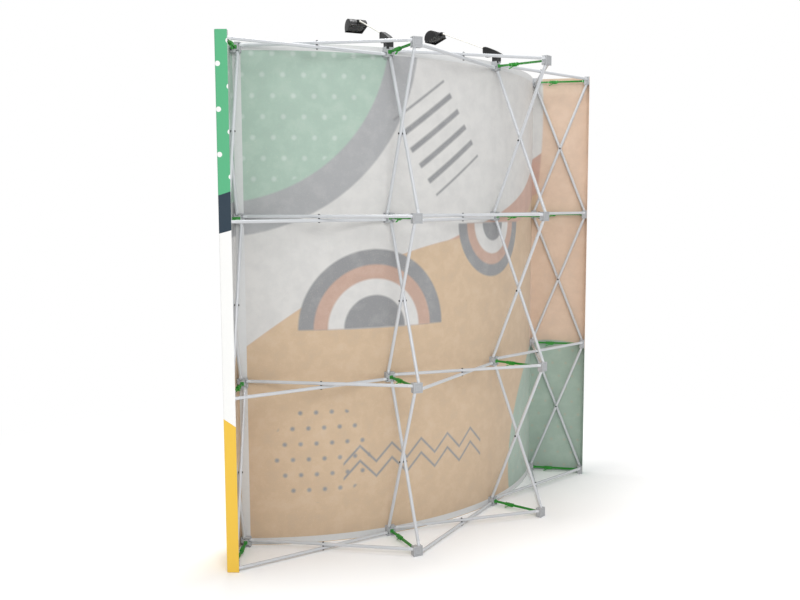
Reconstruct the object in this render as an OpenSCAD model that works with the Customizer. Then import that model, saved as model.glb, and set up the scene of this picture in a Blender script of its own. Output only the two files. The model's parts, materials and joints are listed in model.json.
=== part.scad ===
// Curved pop up display backwall: a scissor frame of hubs and tubes in four columns and
// four rows, a printed fabric stretched round its front hubs, and two clip-on lamps.
// +Z is up, -Y is the printed side, and the columns count from +X. Millimetres.
// The origin is on the floor, in the middle of the whole object.

/* [Frame] */
// Height from one row of hubs to the next
row_pitch = 735; // [600:5:800]
// Distance from the front pins to the back pins of a column
frame_depth = 280; // [220:5:320]
// Turn from one column to the next, in degrees
bay_turn = 26.3; // [20:0.1:28]

/* [Tubes] */
// Outside diameter of a tube
tube_d = 15; // [12:0.5:16]
// Wall of a tube
tube_wall = 1.2; // [0.8:0.1:2.5]
// Gap between the two tubes of a crossing pair
crossing_gap = 3; // [2:0.5:4]
// Length of the solid insert inside each end of a tube
insert_len = 24; // [10:1:60]
// Width of the tongue that the insert has outside the tube
tongue_w = 12; // [9:0.5:13]
// Height of the tongue along its pin
tongue_t = 13; // [8:0.5:13]
// Step from the tube down to the rounded tongue
tongue_step = 0.5; // [0.3:0.1:1]
// Distance from a pin to the end of its tube
tongue_len = 20; // [19:1:30]

/* [Rivets] */
// Diameter of the shank of a crossing rivet
rivet_d = 4; // [3:0.5:6]
// Diameter of its caps and spacer
rivet_cap_d = 9; // [7:0.5:12]
// Height of a cap
rivet_cap_h = 3; // [1.5:0.5:5]

/* [Hubs] */
// Width and height of a hub's face plate
hub_w = 45; // [43:1:50]
// Depth of a hub
hub_depth = 28; // [24:1:32]
// Thickness of the face plate
plate_t = 4; // [3:0.5:6]
// Step from the face plate to the body behind it
plate_lip = 0.8; // [0.2:0.1:1.5]
// Width of the raised square on the face plate
pad_w = 23; // [12:1:28]
// Width of the rim round the face plate
rim_w = 4; // [2:0.5:6]
// Depth of the channel between the rim and the raised square
rim_depth = 1.2; // [0.5:0.1:2]
// Distance from a pin's centre to the edge of the hub
pin_edge = 3.5; // [3.2:0.1:4]
// Diameter of a hub pin
pin_d = 4; // [3:0.2:4.4]
// How far a pin goes into the hub on the inner side of its slot
pin_grip = 8; // [4:0.5:10]
// Distance from the outer end of a pin to the hub's surface
pin_sink = 0.5; // [0:0.1:2]

/* [Lock arms] */
// Width and height of a lock bar
bar_w = 9; // [6:0.5:11]
// Width and height of the sleeve that the bar plugs into
sleeve_w = 15; // [14:0.5:18]
// Length of the sleeve
sleeve_len = 46; // [40:1:60]
// Distance from the front hub to the sleeve
sleeve_from_hub = 63; // [40:1:90]
// How far the bar reaches into the sleeve
bar_lap = 28; // [18:1:34]
// Width and height of the foot that joins an arm to its hub
foot_w = 16; // [14:0.5:20]
// Thickness of that foot
foot_t = 5; // [3:0.5:8]
// Width of a release tab
tab_w = 7; // [5:0.5:9]
// Thickness of a release tab
tab_t = 3; // [2:0.5:4]
// Length of the tab's flat back
tab_back = 22; // [16:1:28]
// Length of the tab's slanted finger
tab_finger = 24; // [12:1:32]
// Slant of the finger, in degrees
tab_slant = 24; // [10:1:40]
// How deep the tab's catch sits in the bar
catch_bite = 2.2; // [1:0.1:2.8]
// Length of the catch along the bar
catch_len = 8; // [4:0.5:10]

/* [Fabric] */
// Thickness of the fabric
fabric_t = 1.2; // [0.8:0.1:2]
// Distance from the fabric to the hub faces
fabric_gap = 0.5; // [0.3:0.1:1.5]
// Distance from the fabric's edges to the floor and to the frame's top
fabric_edge = 1; // [0.5:0.5:12]
// Distance from the outer side of the end hubs to the fabric's end
end_gap = 4; // [2:0.5:8]
// Radius of the fabric's upright corners
corner_r = 5; // [3:0.5:8]
// Width of the strip that returns over the back hubs
return_w = 52; // [30:1:60]
// Gap between two bays of the fabric
seam_gap = 0.4; // [0.2:0.1:1]

/* [Lamps] */
// Width of a lamp's clamp across the hub
clamp_w = 36; // [28:1:43]
// Depth of the clamp over the hub, from the hub's face backwards
clamp_depth = 30; // [24:1:30]
// Height of the clamp on top of its hub
clamp_h = 26; // [18:1:34]
// How deep the clamp's plug goes into the hub's free upper slot
plug_depth = 9; // [5:0.5:9]
// Width of the wedge bracket
bracket_w = 22; // [18:1:28]
// How far the bracket's nose stands in front of the hub's centre
nose_reach = 74; // [60:1:90]
// How far the bracket's tail stands behind it
tail_reach = 34; // [20:1:40]
// Height of the bracket's nose
nose_h = 50; // [36:1:56]
// Height of the bracket's tail
tail_h = 6; // [3:1:12]
// Length of the nose's flat crown
crown_len = 15; // [8:1:24]
// Bevel on the nose's upper corner
nose_bevel = 3; // [1:0.5:5]
// Diameter of the arm rod
rod_d = 6; // [5:0.5:8]
// Length of the arm between its two pivots
rod_len = 279; // [200:1:320]
// Rise of the arm from the level, in degrees
rod_rise = 21.7; // [10:0.1:32]
// Diameter of the round eyes at the arm's ends
eye_d = 12; // [10:0.5:14]
// Width of the eyes
eye_w = 8; // [5:0.5:10]
// Diameter of the pivot stubs on the eyes
stub_d = 5; // [3:0.5:7]
// Thickness of the head's two ears
ear_t = 4; // [3:0.5:8]
// Width of an ear between the knuckle and the head
ear_w = 10; // [6:0.5:11]
// Gap between the arm's eye and the head's round back
ear_gap = 6.5; // [2:0.5:10]
// Direction from the knuckle to the head, in degrees
ear_turn = 152; // [130:1:160]
// Width of a lamp head
head_w = 91; // [70:1:106]
// Radius of the head's rounded back
head_r = 38; // [30:1:42]
// Depth of the head's straight rim
head_rim = 8; // [6:1:20]
// Wall of the head
head_wall = 3; // [2:0.5:4]
// Tilt of the head towards the fabric, in degrees
head_tilt = 20; // [0:1:40]
// Thickness of the lens
lens_t = 3; // [2:0.5:5]
// How far the lens sits inside the rim
lens_sink = 3; // [1:0.5:6]

/* [Hidden] */
columns = 4;
rows = 4;
bays = columns - 1;
middle_column = (columns + 1) / 2;
lamp_columns = [2, 3];
eps = 0.01;            // overshoot of a cut past a face
running_play = 0.05;   // radial clearance of a pin or shank that turns
driven_play = 0.02;    // radial clearance of a pin driven into a hub
slot_play = 0.25;      // clearance on each side of a tongue in its slot
slide_play = 0.3;      // clearance of a sliding, plugged or seated piece
root = 1;              // how far a shape runs into the one that it grows from
round_fn = 32;

// Pantograph: both kinds of pair use one tube length, so the bays' chords follow from it
half_turn = bay_turn / 2;
pin_offset = hub_w / 2 - pin_edge;
upright_span = row_pitch - 2 * pin_offset;
tube_len = norm([frame_depth, upright_span]);
chord_spread = frame_depth * sin(half_turn);
front_chord = norm([upright_span, chord_spread]) - chord_spread;
back_chord = front_chord + 2 * chord_spread;
front_radius = (front_chord + 2 * pin_offset * cos(half_turn)) / (2 * sin(half_turn));
back_radius = front_radius + frame_depth;
chord_angle = atan2(frame_depth * cos(half_turn), (front_chord + back_chord) / 2);
hub_angle = chord_angle - half_turn;
brace_angle = atan2(upright_span, frame_depth);
front_share = front_chord / (2 * cos(chord_angle));
pair_offset = (tube_d + crossing_gap) / 2;

// Heights
first_row = hub_w / 2;
frame_top = first_row * 2 + (rows - 1) * row_pitch;
function row_z(row) = first_row + (row - 1) * row_pitch;

// Hubs
body_w = hub_w - 2 * plate_lip;
slot_t = tongue_t + 2 * slot_play;
slot_floor = pin_offset - tongue_w / 2 - slot_play;
pin_low = pair_offset - slot_t / 2 - pin_grip;
pin_len = body_w / 2 - pin_sink - pin_low;

// Lock arms, measured from the centre of the front hub towards the back hub
sleeve_start = hub_depth / 2 + sleeve_from_hub;
sleeve_end = sleeve_start + sleeve_len;
bar_start = sleeve_end - bar_lap;
bar_end = frame_depth - hub_depth / 2;
socket_w = bar_w + 2 * slide_play;
catch_at = bar_start + bar_lap / 2;
tab_top = -sleeve_w / 2 - slide_play;

// Fabric
front_face = hub_depth / 2 + fabric_gap;
fabric_low = fabric_edge;
fabric_h = frame_top - 2 * fabric_edge;
cap_in = hub_w / 2 + end_gap;
back_face = frame_depth + hub_depth / 2 + fabric_gap;
// A corner is at most so round that it still clears the edge of its hub
wrap_r = min(corner_r, end_gap + fabric_gap - slide_play
    + sqrt(2 * (end_gap - slide_play) * (fabric_gap - slide_play)));

// Lamps: x across, y forward of the hub's centre, z above the hub's top
bracket_floor = clamp_h;
pivot_forward = nose_reach - eye_d / 2 - slide_play;
pivot_up = bracket_floor + nose_h - eye_d / 2 - slide_play;
knuckle_forward = pivot_forward + rod_len * cos(rod_rise);
knuckle_up = pivot_up + rod_len * sin(rod_rise);
ear_reach = eye_d / 2 + ear_gap + head_r;
barrel_forward = knuckle_forward - ear_reach * cos(ear_turn);
barrel_up = knuckle_up - ear_reach * sin(ear_turn);
lamp_reach = barrel_forward + head_r;

// Middle of the object from front to back, seen from the centre of the arc
back_most = (back_radius + hub_depth / 2) * cos(half_turn) + hub_w / 2 * sin(half_turn);
front_most = (front_radius - lamp_reach) * cos(half_turn) - head_w / 2 * sin(half_turn);
arc_centre = (back_most + front_most) / 2;

function named(name, count) = [for (n = [1:count]) str(name, "_", n)];

// ---------------------------------------------------------------- places

// Puts children at a column, on the arc of the given radius, with +Y outwards
module at_column(column, radius) {
    around = (middle_column - column) * bay_turn;
    translate([radius * sin(around), radius * cos(around) - arc_centre, 0])
        rotate([0, 0, -around])
            children();
}

module at_front(column, row) at_column(column, front_radius) translate([0, 0, row_z(row)]) children();

// A back hub faces the other way, so it is turned half round
module at_back(column, row) at_column(column, back_radius) translate([0, 0, row_z(row)])
    rotate([0, 0, 180]) children();

// Stands a flat shape up along Y and Z and makes it "width" thick across
module upright(width) rotate([90, 0, 90]) translate([0, 0, -width / 2]) linear_extrude(width) children();

// ---------------------------------------------------------------- hubs and pins

// The four slots and pins of a hub repeat every quarter turn about its depth
module on_side(side) rotate([0, 90 * side, 0]) children();

module face_channel() {
    outer = hub_w - 2 * rim_w;
    translate([0, -hub_depth / 2 + rim_depth / 2, 0]) difference() {
        cube([outer, rim_depth + eps, outer], center = true);
        cube([pad_w, rim_depth + 3 * eps, pad_w], center = true);
    }
}

module tongue_slot() {
    behind = tongue_w / 2 + slot_play;
    translate([-hub_w, -behind, pair_offset - slot_t / 2])
        cube([hub_w - slot_floor, hub_depth, slot_t]);
    translate([-pin_offset, 0, pin_low])
        cylinder(r = pin_d / 2 + driven_play, h = hub_w, $fn = round_fn);
}

module hub() difference() {
    union() {
        translate([-hub_w / 2, -hub_depth / 2, -hub_w / 2]) cube([hub_w, plate_t, hub_w]);
        translate([-body_w / 2, -hub_depth / 2, -body_w / 2]) cube([body_w, hub_depth, body_w]);
    }
    face_channel();
    for (side = [0:3]) on_side(side) tongue_slot();
}

module hub_pin() translate([-pin_offset, 0, pin_low]) cylinder(d = pin_d, h = pin_len, $fn = round_fn);

// Sides 0 to 3 are next column, up, last column and down on a front hub
module hub_pins(row, has_next, has_last) {
    if (has_next) on_side(0) hub_pin();
    if (row < rows) on_side(1) hub_pin();
    if (has_last) on_side(2) hub_pin();
    if (row > 1) on_side(3) hub_pin();
}

module front_hubs(column) color([0.66, 0.66, 0.67])
    for (row = [1:rows]) at_front(column, row) hub();

module back_hubs(column) color([0.66, 0.66, 0.67])
    for (row = [1:rows]) at_back(column, row) hub();

module front_pins(column) color([0.45, 0.45, 0.46])
    for (row = [1:rows]) at_front(column, row) hub_pins(row, column < columns, column > 1);

module back_pins(column) color([0.45, 0.45, 0.46])
    for (row = [1:rows]) at_back(column, row) hub_pins(row, column > 1, column < columns);

// ---------------------------------------------------------------- tubes

// A tongue round a pin at the origin, ending in the tube that runs along +X
module tongue() intersection() {
    translate([-tongue_w, 0, 0]) rotate([0, 90, 0])
        cylinder(d = tube_d - 2 * tongue_step, h = tongue_w + tongue_len + root, $fn = 48);
    union() {
        translate([0, -tongue_w / 2, -tongue_t / 2]) cube([2 * tongue_len, tongue_w, tongue_t]);
        translate([0, 0, -tongue_t / 2]) cylinder(d = tongue_w, h = tongue_t, $fn = round_fn);
    }
}

module pin_bore() translate([0, 0, -tongue_t])
    cylinder(r = pin_d / 2 + running_play, h = 2 * tongue_t, $fn = round_fn);

// Opens a tongue from its bore outwards, so that it slips off its pin when the frame folds
module open_mouth(turn) rotate([0, 0, turn])
    translate([0, -pin_d / 2 - slide_play, -tongue_t])
        cube([tongue_w, pin_d + 2 * slide_play, 2 * tongue_t]);

// A tube along +X from one pin to the other, with its rivet hole at "crossing"
module tube(crossing, near_mouth = undef, far_mouth = undef) {
    bore_start = tongue_len + insert_len;
    difference() {
        union() {
            translate([tongue_len, 0, 0]) rotate([0, 90, 0])
                cylinder(d = tube_d, h = tube_len - 2 * tongue_len, $fn = 48);
            tongue();
            translate([tube_len, 0, 0]) rotate([0, 0, 180]) tongue();
        }
        translate([bore_start, 0, 0]) rotate([0, 90, 0])
            cylinder(d = tube_d - 2 * tube_wall, h = tube_len - 2 * bore_start, $fn = 48);
        translate([crossing, 0, -tube_d])
            cylinder(r = rivet_d / 2 + running_play, h = 2 * tube_d, $fn = round_fn);
        pin_bore();
        translate([tube_len, 0, 0]) pin_bore();
        if (!is_undef(near_mouth)) open_mouth(near_mouth);
        if (!is_undef(far_mouth)) translate([tube_len, 0, 0]) open_mouth(far_mouth);
    }
}

// The rivet of a pair whose tubes lie pair_offset above and below the origin
module crossing_rivet() {
    cap_base = pair_offset + tube_d / 2 + running_play;
    spacer_h = crossing_gap - 2 * running_play;
    cylinder(d = rivet_d, h = 2 * cap_base, center = true, $fn = round_fn);
    cylinder(d = rivet_cap_d, h = spacer_h, center = true, $fn = round_fn);
    for (end = [0, 180]) rotate([end, 0, 0]) translate([0, 0, cap_base - eps])
        cylinder(d = rivet_cap_d, h = rivet_cap_h, $fn = round_fn);
}

// Level tubes, from the front hub of a bay's first column out to the back hub of the next
module outward_tubes(bay) color([0.85, 0.86, 0.87]) {
    mouth = bay == 1 ? 0 : undef;
    for (row = [1:rows]) at_front(bay, row) translate([-pin_offset, 0, pair_offset])
        rotate([0, 0, 180 - hub_angle]) tube(front_share, far_mouth = mouth);
}

// Level tubes, from the front hub of a bay's second column back to the first column
module inward_tubes(bay) color([0.85, 0.86, 0.87]) {
    mouth = bay == bays ? 0 : undef;
    for (row = [1:rows]) at_front(bay + 1, row) translate([pin_offset, 0, -pair_offset])
        rotate([0, 0, hub_angle]) tube(front_share, far_mouth = mouth);
}

module bay_rivets(bay) color([0.12, 0.12, 0.12])
    for (row = [1:rows]) at_front(bay, row) translate([-pin_offset, 0, 0])
        rotate([0, 0, 180 - hub_angle]) translate([front_share, 0, 0]) crossing_rivet();

// Puts a tube that starts at a front pin in a column's upright plane, at an angle
module in_column_plane(angle) rotate([0, 0, 90]) rotate([0, -angle, 0]) rotate([90, 0, 0]) children();

module upright_braces(column) color([0.85, 0.86, 0.87])
    for (row = [1:rows - 1]) {
        at_front(column, row) translate([pair_offset, 0, pin_offset])
            in_column_plane(brace_angle) tube(tube_len / 2, near_mouth = 180 - brace_angle);
        at_front(column, row + 1) translate([-pair_offset, 0, -pin_offset])
            in_column_plane(-brace_angle) tube(tube_len / 2, near_mouth = 180 + brace_angle);
    }

module brace_rivets(column) color([0.12, 0.12, 0.12])
    for (row = [1:rows - 1]) at_front(column, row)
        translate([0, frame_depth / 2, row_pitch / 2]) rotate([0, 90, 0]) crossing_rivet();

// ---------------------------------------------------------------- lock arms

module bar_between(low, high, width) translate([-width / 2, low, -width / 2])
    cube([width, high - low, width]);

module catch_notch() translate([-tab_w / 2 - slide_play, catch_at - slide_play, -hub_w])
    cube([tab_w + 2 * slide_play, catch_len + 2 * slide_play, hub_w - bar_w / 2 + catch_bite + slide_play]);

module lock_socket() difference() {
    union() {
        bar_between(hub_depth / 2, hub_depth / 2 + foot_t, foot_w);
        bar_between(hub_depth / 2, sleeve_start + root, bar_w);
        bar_between(sleeve_start, sleeve_end, sleeve_w);
    }
    bar_between(bar_start - slide_play, sleeve_end + root, socket_w);
    catch_notch();
}

module lock_bar() difference() {
    union() {
        bar_between(bar_start, bar_end, bar_w);
        bar_between(bar_end - foot_t, bar_end, foot_w);
    }
    catch_notch();
}

// The tab hangs under the sleeve: its catch reaches up into the bar and its finger slants down
module lock_tab() {
    back_end = catch_at + catch_len;
    bend = back_end - tab_back;
    tip = [bend - tab_finger * cos(tab_slant), tab_top - tab_finger * sin(tab_slant)];
    catch_top = -bar_w / 2 + catch_bite;
    upright(tab_w) polygon([
        [bend, tab_top],
        tip,
        tip + tab_t * [sin(tab_slant), -cos(tab_slant)],
        [bend + tab_t * tan(tab_slant / 2), tab_top - tab_t],
        [back_end, tab_top - tab_t],
        [back_end, catch_top],
        [catch_at, catch_top],
        [catch_at, tab_top]
    ]);
}

module lock_sockets(column) color([0.10, 0.55, 0.12])
    for (row = [1:rows]) at_front(column, row) lock_socket();

module lock_bars(column) color([0.10, 0.48, 0.12])
    for (row = [1:rows]) at_front(column, row) lock_bar();

module lock_tabs(column) color([0.13, 0.62, 0.13])
    for (row = [1:rows]) at_front(column, row) lock_tab();

// ---------------------------------------------------------------- fabric

module fabric_block(x_from, x_to, y_from, y_to) translate([x_from, y_from, fabric_low])
    cube([x_to - x_from, y_to - y_from, fabric_h]);

// A quarter-round upright corner about (x, y), from the angle "from" onwards
module fabric_corner(x, y, from) translate([x, y, fabric_low])
    rotate([0, 0, from]) rotate_extrude(angle = 90, $fn = round_fn)
        translate([wrap_r, 0]) square([fabric_t, fabric_h]);

// One bay of the front, on the arc just in front of the hub faces
module front_fabric(bay) color([0.86, 0.84, 0.78]) {
    inner = front_radius - front_face - fabric_t;
    seam_turn = seam_gap / inner * 180 / PI;
    start = 90 - (middle_column - bay) * bay_turn;
    translate([0, -arc_centre, fabric_low])
        rotate([0, 0, start + seam_turn / 2])
            rotate_extrude(angle = bay_turn - seam_turn, $fn = 360)
                translate([inner, 0]) square([fabric_t, fabric_h]);
}

// One end: from the end column's centre line round its outer side and over its back hub
module end_wrap() {
    corner_x = cap_in - wrap_r;
    side_low = -front_face + wrap_r;
    side_high = back_face - wrap_r;
    fabric_block(seam_gap, corner_x, -front_face - fabric_t, -front_face);
    fabric_corner(corner_x, side_low, -90);
    fabric_block(cap_in, cap_in + fabric_t, side_low, side_high);
    fabric_corner(corner_x, side_high, 0);
    fabric_block(cap_in + fabric_t - return_w, corner_x, back_face, back_face + fabric_t);
}

module end_fabric(column) color([0.40, 0.75, 0.56])
    at_column(column, front_radius) mirror([column == 1 ? 0 : 1, 0, 0]) end_wrap();

// ---------------------------------------------------------------- lamps

// Lamp space: +Y points forward of the wall, the origin is on top of the column's top hub
module at_lamp(lamp) at_column(lamp_columns[lamp - 1], front_radius)
    translate([0, 0, frame_top]) rotate([0, 0, 180]) children();

// A round bar across the lamp
module cross_bar(forward, up, diameter, width) translate([-width / 2, forward, up])
    rotate([0, 90, 0]) cylinder(d = diameter, h = width, $fn = round_fn);

// A block on the hub, with a plug in the hub's upper slot, which holds no tube in the top row
module clamp_body() {
    plug_w = slot_t - 2 * slide_play;
    plug_front = tongue_w / 2 + slot_play - slide_play;
    translate([-clamp_w / 2, hub_depth / 2 - clamp_depth, slide_play])
        cube([clamp_w, clamp_depth, clamp_h - 2 * slide_play]);
    translate([-pair_offset - plug_w / 2, -hub_depth / 2, -plug_depth])
        cube([plug_w, hub_depth / 2 + plug_front, plug_depth + root]);
}

module lamp_clamp(lamp) color([0.10, 0.10, 0.10]) at_lamp(lamp) clamp_body();

// The wedge's side: a low tail, a swept top and a tall nose that leans over its own foot
module bracket_body() difference() {
    crown = bracket_floor + nose_h;
    upright(bracket_w) polygon([
        [-tail_reach, bracket_floor],
        [nose_reach - crown_len, bracket_floor],
        [nose_reach, bracket_floor + nose_h / 2],
        [nose_reach, crown - nose_bevel],
        [nose_reach - nose_bevel, crown],
        [nose_reach - nose_bevel - crown_len, crown],
        [nose_reach / 2 - crown_len / 2, bracket_floor + tail_h + (nose_h - tail_h) * 0.75],
        [0, bracket_floor + tail_h + (nose_h - tail_h) * 0.45],
        [-tail_reach, bracket_floor + tail_h]
    ]);
    eye_room = eye_d / 2 + slide_play;
    translate([-eye_w / 2 - slide_play, pivot_forward - eye_room, pivot_up - eye_room])
        cube([eye_w + 2 * slide_play, nose_reach, nose_h]);
    translate([-eye_w / 2 - slide_play, pivot_forward, pivot_up - 2 * eye_room])
        cube([eye_w + 2 * slide_play, nose_reach, nose_h]);
    cross_bar(pivot_forward, pivot_up, stub_d + 2 * running_play, bracket_w + 2 * root);
}

module lamp_bracket(lamp) color([0.12, 0.12, 0.12]) at_lamp(lamp) bracket_body();

module arm_body() {
    for (end = [[pivot_forward, pivot_up], [knuckle_forward, knuckle_up]]) {
        cross_bar(end[0], end[1], eye_d, eye_w);
        cross_bar(end[0], end[1], stub_d, bracket_w);
    }
    translate([0, pivot_forward, pivot_up]) rotate([rod_rise - 90, 0, 0])
        cylinder(d = rod_d, h = rod_len, $fn = round_fn);
}

module lamp_arm(lamp) color([0.86, 0.85, 0.82]) at_lamp(lamp) arm_body();

// Head space: the origin is the centre of the round back, and the mouth faces -Z
module at_barrel() translate([0, barrel_forward, barrel_up]) rotate([-head_tilt, 0, 0]) children();

// All that hangs lower than the rim
module below_rim() translate([-head_w, -2 * head_r, -4 * head_r - head_rim])
    cube([2 * head_w, 4 * head_r, 4 * head_r]);

module barrel(width, radius, rim) {
    translate([-width / 2, 0, 0]) rotate([0, 90, 0]) cylinder(r = radius, h = width, $fn = 96);
    translate([-width / 2, -radius, -rim]) cube([width, 2 * radius, rim]);
}

// A plate from the knuckle into the wall of the round back
module lamp_ear() upright(ear_t) translate([knuckle_forward, knuckle_up]) {
    circle(d = eye_d, $fn = round_fn);
    rotate(ear_turn + 180) translate([0, -ear_w / 2])
        square([eye_d / 2 + ear_gap + head_wall, ear_w]);
}

module head_body() difference() {
    union() {
        at_barrel() barrel(head_w, head_r, head_rim);
        for (end = [-1, 1])
            translate([end * (eye_w / 2 + slide_play + ear_t / 2), 0, 0]) lamp_ear();
    }
    at_barrel() barrel(head_w - 2 * head_wall, head_r - head_wall, 2 * head_rim);
    at_barrel() below_rim();
    cross_bar(knuckle_forward, knuckle_up, stub_d + 2 * running_play, head_w);
}

module lamp_head(lamp) color([0.11, 0.11, 0.11]) at_lamp(lamp) head_body();

module lamp_lens(lamp) color([0.75, 0.78, 0.80]) at_lamp(lamp) at_barrel() {
    lens_w = head_w - 2 * (head_wall + slide_play);
    lens_d = 2 * (head_r - head_wall - slide_play);
    translate([-lens_w / 2, -lens_d / 2, lens_sink - head_rim]) cube([lens_w, lens_d, lens_t]);
}

// ---------------------------------------------------------------- nodes

module shows(name, number) children();

for (column = [1:columns]) {
    shows("front_hubs", column) front_hubs(column);
    shows("back_hubs", column) back_hubs(column);
    shows("front_pins", column) front_pins(column);
    shows("back_pins", column) back_pins(column);
    shows("upright_braces", column) upright_braces(column);
    shows("brace_rivets", column) brace_rivets(column);
    shows("lock_sockets", column) lock_sockets(column);
    shows("lock_bars", column) lock_bars(column);
    shows("lock_tabs", column) lock_tabs(column);
}
for (bay = [1:bays]) {
    shows("outward_tubes", bay) outward_tubes(bay);
    shows("inward_tubes", bay) inward_tubes(bay);
    shows("bay_rivets", bay) bay_rivets(bay);
    shows("front_fabric", bay) front_fabric(bay);
}
for (column = [1, columns]) shows("end_fabric", column) end_fabric(column);
for (lamp = [1, 2]) {
    shows("lamp_clamp", lamp) lamp_clamp(lamp);
    shows("lamp_bracket", lamp) lamp_bracket(lamp);
    shows("lamp_arm", lamp) lamp_arm(lamp);
    shows("lamp_head", lamp) lamp_head(lamp);
    shows("lamp_lens", lamp) lamp_lens(lamp);
}
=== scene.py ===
import json
import math

import bpy
from mathutils import Matrix, Vector


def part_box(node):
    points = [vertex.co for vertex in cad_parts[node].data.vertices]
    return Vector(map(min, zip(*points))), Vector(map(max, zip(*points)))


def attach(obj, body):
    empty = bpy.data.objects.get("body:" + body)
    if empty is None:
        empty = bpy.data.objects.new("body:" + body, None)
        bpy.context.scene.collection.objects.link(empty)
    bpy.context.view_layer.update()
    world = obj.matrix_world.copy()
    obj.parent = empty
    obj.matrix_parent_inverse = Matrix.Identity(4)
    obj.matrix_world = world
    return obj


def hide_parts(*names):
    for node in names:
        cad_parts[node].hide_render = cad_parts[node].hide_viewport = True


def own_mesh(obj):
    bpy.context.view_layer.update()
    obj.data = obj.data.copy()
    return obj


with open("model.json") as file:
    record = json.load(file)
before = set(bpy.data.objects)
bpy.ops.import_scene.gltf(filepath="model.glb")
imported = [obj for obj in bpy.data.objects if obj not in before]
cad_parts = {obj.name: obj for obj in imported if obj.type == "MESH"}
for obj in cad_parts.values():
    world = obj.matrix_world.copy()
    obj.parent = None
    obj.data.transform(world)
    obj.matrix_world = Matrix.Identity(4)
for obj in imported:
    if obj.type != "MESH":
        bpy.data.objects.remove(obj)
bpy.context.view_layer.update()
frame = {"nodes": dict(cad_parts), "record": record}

bodies = frame["record"]["behaviour"]["bodies"]
bodyOf = {node: body for body, nodes in bodies.items() for node in nodes}

# Sizes are in metres and angles in degrees. Columns count from +X, rows from the floor, and the
# print faces -Y.
wall = {
    "columns": 4,
    "rows": 4,
    "rowPitch": 0.735,
    "depth": 0.280,  # front pins to back pins
    "turn": 26.3,  # from one column to the next
    "hub": 0.045,  # width of a hub
    "pin": 0.019,  # hub's centre to its pins
    "tube": 0.015,
    "crossingGap": 0.003,
}


def radians(angle):
    return math.radians(angle)


def columnTurn(column):
    return radians(((wall["columns"] + 1) / 2 - column) * wall["turn"])


# The pantograph: both kinds of pair share one tube length, and the bays follow from it
halfTurn = radians(wall["turn"] / 2)
uprightSpan = wall["rowPitch"] - 2 * wall["pin"]
tubeLength = math.hypot(wall["depth"], uprightSpan)
chordSpread = wall["depth"] * math.sin(halfTurn)
frontChord = math.hypot(uprightSpan, chordSpread) - chordSpread
frontRadius = (frontChord + 2 * wall["pin"] * math.cos(halfTurn)) / (2 * math.sin(halfTurn))
backRadius = frontRadius + wall["depth"]
chordAngle = math.atan2(wall["depth"] * math.cos(halfTurn), frontChord + chordSpread)
hubAngle = chordAngle - halfTurn
braceAngle = math.atan2(uprightSpan, wall["depth"])
frontShare = frontChord / (2 * math.cos(chordAngle))
pairOffset = (wall["tube"] + wall["crossingGap"]) / 2
frameTop = wall["hub"] + (wall["rows"] - 1) * wall["rowPitch"]

# The arc's centre lies in front of the wall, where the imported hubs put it
hubLow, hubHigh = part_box("front_hubs_2")
arcCentre = frontRadius * math.cos(columnTurn(2)) - (hubLow.y + hubHigh.y) / 2


def rowHeight(row):
    return wall["hub"] / 2 + (row - 1) * wall["rowPitch"]


def turned(angle, axis):
    return Matrix.Rotation(angle, 4, axis)


def moved(x, y, z):
    return Matrix.Translation((x, y, z))


def atColumn(column, radius, height=0.0):
    around = columnTurn(column)
    middle = moved(radius * math.sin(around), radius * math.cos(around) - arcCentre, height)
    return middle @ turned(-around, "Z")


def atFront(column, row):
    return atColumn(column, frontRadius, rowHeight(row))


def atBack(column, row):
    return atColumn(column, backRadius, rowHeight(row)) @ turned(math.pi, "Z")


# Modelling steps, used the way the same tools are used by hand

def clearSelection():
    bpy.ops.object.select_all(action="DESELECT")


def alone(piece):
    clearSelection()
    piece.select_set(True)
    bpy.context.view_layer.objects.active = piece
    return piece


def box(low, high):
    clearSelection()
    middle = [(a + b) / 2 for a, b in zip(low, high)]
    bpy.ops.mesh.primitive_cube_add(size=1, location=middle)
    piece = bpy.context.object
    piece.scale = [b - a for a, b in zip(low, high)]
    bpy.ops.object.transform_apply(location=True, rotation=True, scale=True)
    return piece


def drum(radius, length, middle=(0, 0, 0), axis="Z", sides=32):
    lay = {"X": (0, math.pi / 2, 0), "Y": (math.pi / 2, 0, 0), "Z": (0, 0, 0)}[axis]
    clearSelection()
    bpy.ops.mesh.primitive_cylinder_add(
        vertices=sides, radius=radius, depth=length, location=middle, rotation=lay)
    bpy.ops.object.transform_apply(location=True, rotation=True, scale=True)
    return bpy.context.object


def outline(points, width):
    # a flat outline in Y and Z, made "width" thick across X
    clearSelection()
    bpy.ops.mesh.primitive_circle_add(vertices=len(points), fill_type="NGON")
    piece = bpy.context.object
    for vertex, (y, z) in zip(piece.data.vertices, points):
        vertex.co = (-width / 2, y, z)
    return edit(piece, lambda face: True, extrude(width, 0, 0), recalculate)


def edit(piece, test, *steps):
    # selects faces by their place and normal, then works on them in edit mode
    alone(piece)
    for part in (piece.data.vertices, piece.data.edges, piece.data.polygons):
        part.foreach_set("select", [False] * len(part))
    for face in piece.data.polygons:
        face.select = bool(test(face))
    bpy.context.tool_settings.mesh_select_mode = (False, False, True)
    bpy.ops.object.mode_set(mode="EDIT")
    for step in steps:
        step()
    bpy.ops.object.mode_set(mode="OBJECT")
    return piece


def inset(width, depth=0.0, each=False):
    return lambda: bpy.ops.mesh.inset(thickness=width, depth=depth, use_individual=each)


def recess(rim, slope, depth, each=False):
    return inset(rim, each=each), inset(slope, -depth, each=each)


def extrude(x, y, z):
    return lambda: bpy.ops.mesh.extrude_region_move(TRANSFORM_OT_translate={"value": (x, y, z)})


def recalculate():
    bpy.ops.mesh.select_all(action="SELECT")
    bpy.ops.mesh.remove_doubles(threshold=1e-6)  # a thousandth of a millimetre
    bpy.ops.mesh.normals_make_consistent(inside=False)


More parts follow.
